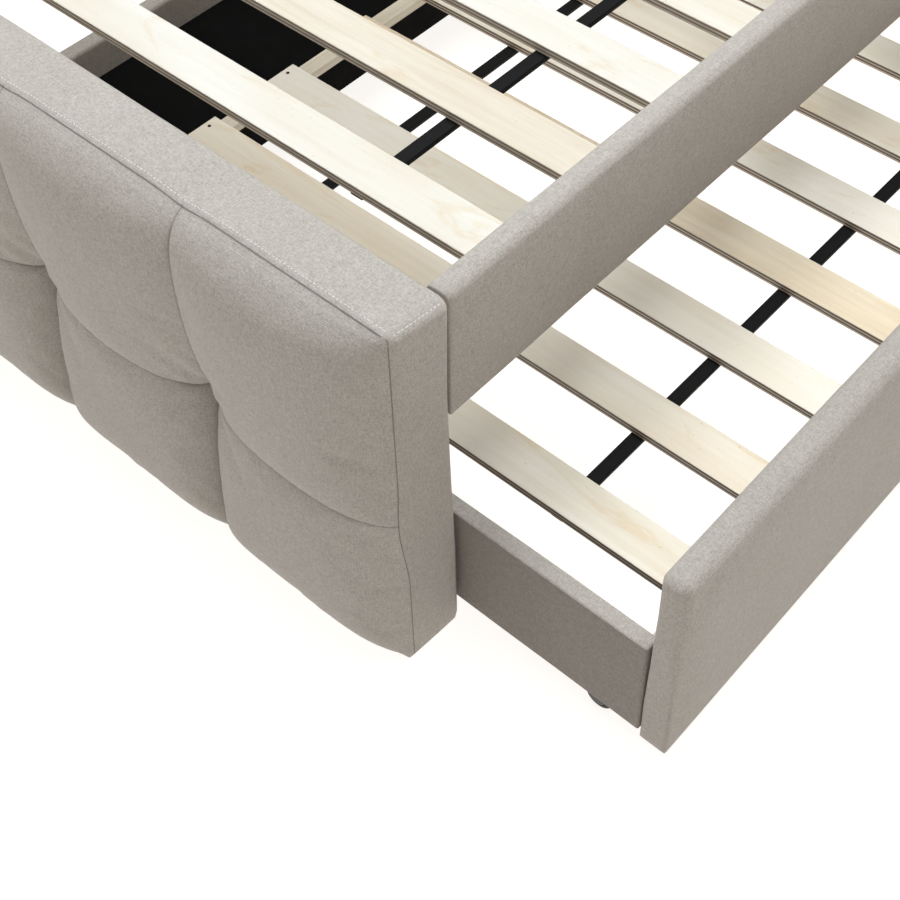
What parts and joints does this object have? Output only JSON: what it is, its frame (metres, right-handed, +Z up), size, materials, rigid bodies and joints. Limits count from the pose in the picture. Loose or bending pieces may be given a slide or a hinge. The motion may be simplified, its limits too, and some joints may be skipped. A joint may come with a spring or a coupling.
{
  "type": "trundle bed",
  "caption": "Upholstered bed with a tufted footboard and headboard, a slatted deck, and a low slatted trundle on wheels that slides out from one side.",
  "frame": {"origin": "centre of the footprint on the floor, with the trundle pulled out 300 mm", "axes": "+Z up, +Y from the footboard to the headboard, +X the way the trundle pulls out"},
  "size_m": [1.74, 2.119, 1.094],
  "materials": {
    "tufted_linen": "tufted melange linen over foam",
    "linen": "melange linen stretched over thin foam",
    "board": "raw particle board under the fabric",
    "pine": "planed pine",
    "deck_slats": "pale birch plywood, laminated edge",
    "trundle_slats": "birch plywood, slightly darker",
    "black_steel": "black powder coat",
    "black_board": "black faced board",
    "zinc_steel": "zinc plated sheet",
    "tread": "dark moulded tread"
  },
  "bodies": {
    "bed_frame": {"footboard_pad": "tufted_linen", "headboard_pad": "tufted_linen", "left_rail_pad": "linen", "right_rail_pad": "linen", "footboard_core": "board", "headboard_core": "board", "left_rail_board": "board", "right_rail_board": "board", "left_rail_ledger": "pine", "right_rail_ledger": "pine", "deck_slat_01": "deck_slats", "deck_slat_02": "deck_slats", "deck_slat_03": "deck_slats", "deck_slat_04": "deck_slats", "deck_slat_05": "deck_slats", "deck_slat_06": "deck_slats", "deck_slat_07": "deck_slats", "deck_slat_08": "deck_slats", "deck_slat_09": "deck_slats", "deck_slat_10": "deck_slats", "deck_slat_11": "deck_slats", "deck_slat_12": "deck_slats", "deck_bar_left": "black_steel", "deck_bar_right": "black_steel"},
    "trundle": {"trundle_front_pad": "linen", "tray_back_panel": "linen", "trundle_foot_panel": "linen", "trundle_head_panel": "linen", "trundle_front_board": "board", "trundle_front_ledger": "pine", "trundle_inner_cleat": "pine", "trundle_slat_01": "trundle_slats", "trundle_slat_02": "trundle_slats", "trundle_slat_03": "trundle_slats", "trundle_slat_04": "trundle_slats", "trundle_slat_05": "trundle_slats", "trundle_slat_06": "trundle_slats", "trundle_slat_07": "trundle_slats", "trundle_slat_08": "trundle_slats", "trundle_slat_09": "trundle_slats", "trundle_slat_10": "trundle_slats", "trundle_slat_11": "trundle_slats", "trundle_slat_12": "trundle_slats", "trundle_bar_front": "black_steel", "trundle_bar_back": "black_steel", "tray_front_wall": "black_board", "tray_floor": "black_board", "fork_foot_front": "zinc_steel", "fork_foot_middle": "zinc_steel", "fork_foot_back": "zinc_steel", "fork_head_front": "zinc_steel", "fork_head_middle": "zinc_steel", "fork_head_back": "zinc_steel"},
    "wheel_foot_front": {"wheel_foot_front": "tread"},
    "wheel_foot_middle": {"wheel_foot_middle": "tread"},
    "wheel_foot_back": {"wheel_foot_back": "tread"},
    "wheel_head_front": {"wheel_head_front": "tread"},
    "wheel_head_middle": {"wheel_head_middle": "tread"},
    "wheel_head_back": {"wheel_head_back": "tread"}
  },
  "joints": [
    {"name": "trundle_slide", "type": "slide", "parent": "bed_frame", "child": "trundle", "axis": [1, 0, 0], "range_m": [-0.3, 0.7]},
    {"name": "wheel_foot_front_roll", "type": "hinge", "parent": "trundle", "child": "wheel_foot_front", "pos_m": [0.772, -0.9327, 0.018], "axis": [0, 1, 0], "continuous": true},
    {"name": "wheel_foot_middle_roll", "type": "hinge", "parent": "trundle", "child": "wheel_foot_middle", "pos_m": [0.217, -0.9327, 0.018], "axis": [0, 1, 0], "continuous": true},
    {"name": "wheel_foot_back_roll", "type": "hinge", "parent": "trundle", "child": "wheel_foot_back", "pos_m": [-0.338, -0.9327, 0.018], "axis": [0, 1, 0], "continuous": true},
    {"name": "wheel_head_front_roll", "type": "hinge", "parent": "trundle", "child": "wheel_head_front", "pos_m": [0.772, 0.9327, 0.018], "axis": [0, 1, 0], "continuous": true},
    {"name": "wheel_head_middle_roll", "type": "hinge", "parent": "trundle", "child": "wheel_head_middle", "pos_m": [0.217, 0.9327, 0.018], "axis": [0, 1, 0], "continuous": true},
    {"name": "wheel_head_back_roll", "type": "hinge", "parent": "trundle", "child": "wheel_head_back", "pos_m": [-0.338, 0.9327, 0.018], "axis": [0, 1, 0], "continuous": true}
  ],
  "couplings": [
    {"joint": "wheel_foot_front_roll", "follows": "trundle_slide", "rad_per_m": 55.556},
    {"joint": "wheel_foot_middle_roll", "follows": "trundle_slide", "rad_per_m": 55.556},
    {"joint": "wheel_foot_back_roll", "follows": "trundle_slide", "rad_per_m": 55.556},
    {"joint": "wheel_head_front_roll", "follows": "trundle_slide", "rad_per_m": 55.556},
    {"joint": "wheel_head_middle_roll", "follows": "trundle_slide", "rad_per_m": 55.556},
    {"joint": "wheel_head_back_roll", "follows": "trundle_slide", "rad_per_m": 55.556}
  ]
}
